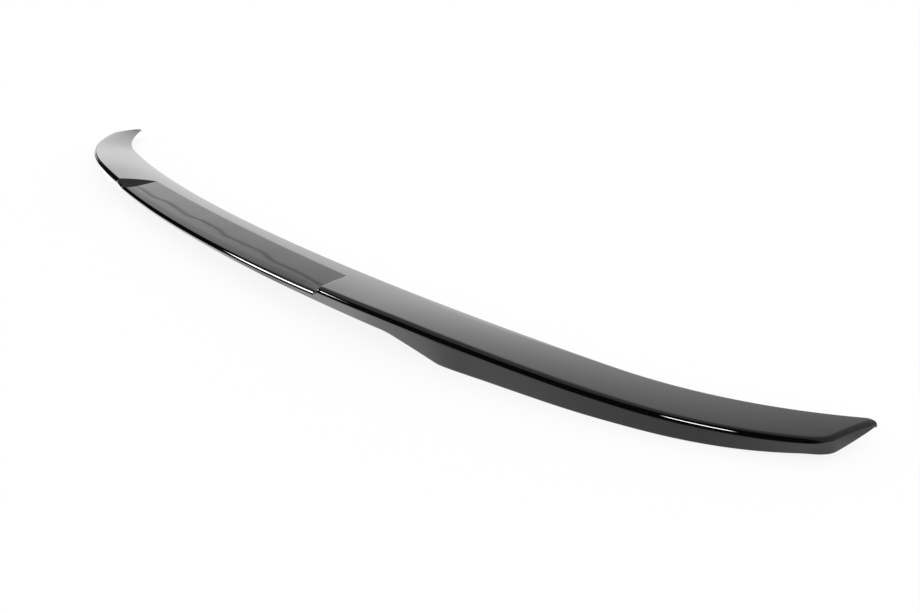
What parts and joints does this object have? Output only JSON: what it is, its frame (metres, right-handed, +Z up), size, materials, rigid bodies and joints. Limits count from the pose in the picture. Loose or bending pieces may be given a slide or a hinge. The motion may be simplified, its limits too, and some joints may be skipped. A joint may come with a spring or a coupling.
{
  "type": "car rear spoiler",
  "caption": "Low gloss black lip spoiler for a boot lid: a swept one-piece shell with raised wings, a recessed centre and leaning rear face.",
  "frame": {"origin": "under the middle of the bounding box, on the plane that the feet of both wings stand on", "axes": "+X across the car to its right, +Y towards the front of the car, +Z up"},
  "size_m": [1.2406, 0.1824, 0.0345],
  "materials": {
    "gloss_black": "moulded black ABS with a high gloss top coat"
  },
  "bodies": {
    "root": {"spoiler_moulding": "gloss_black"}
  },
  "joints": []
}
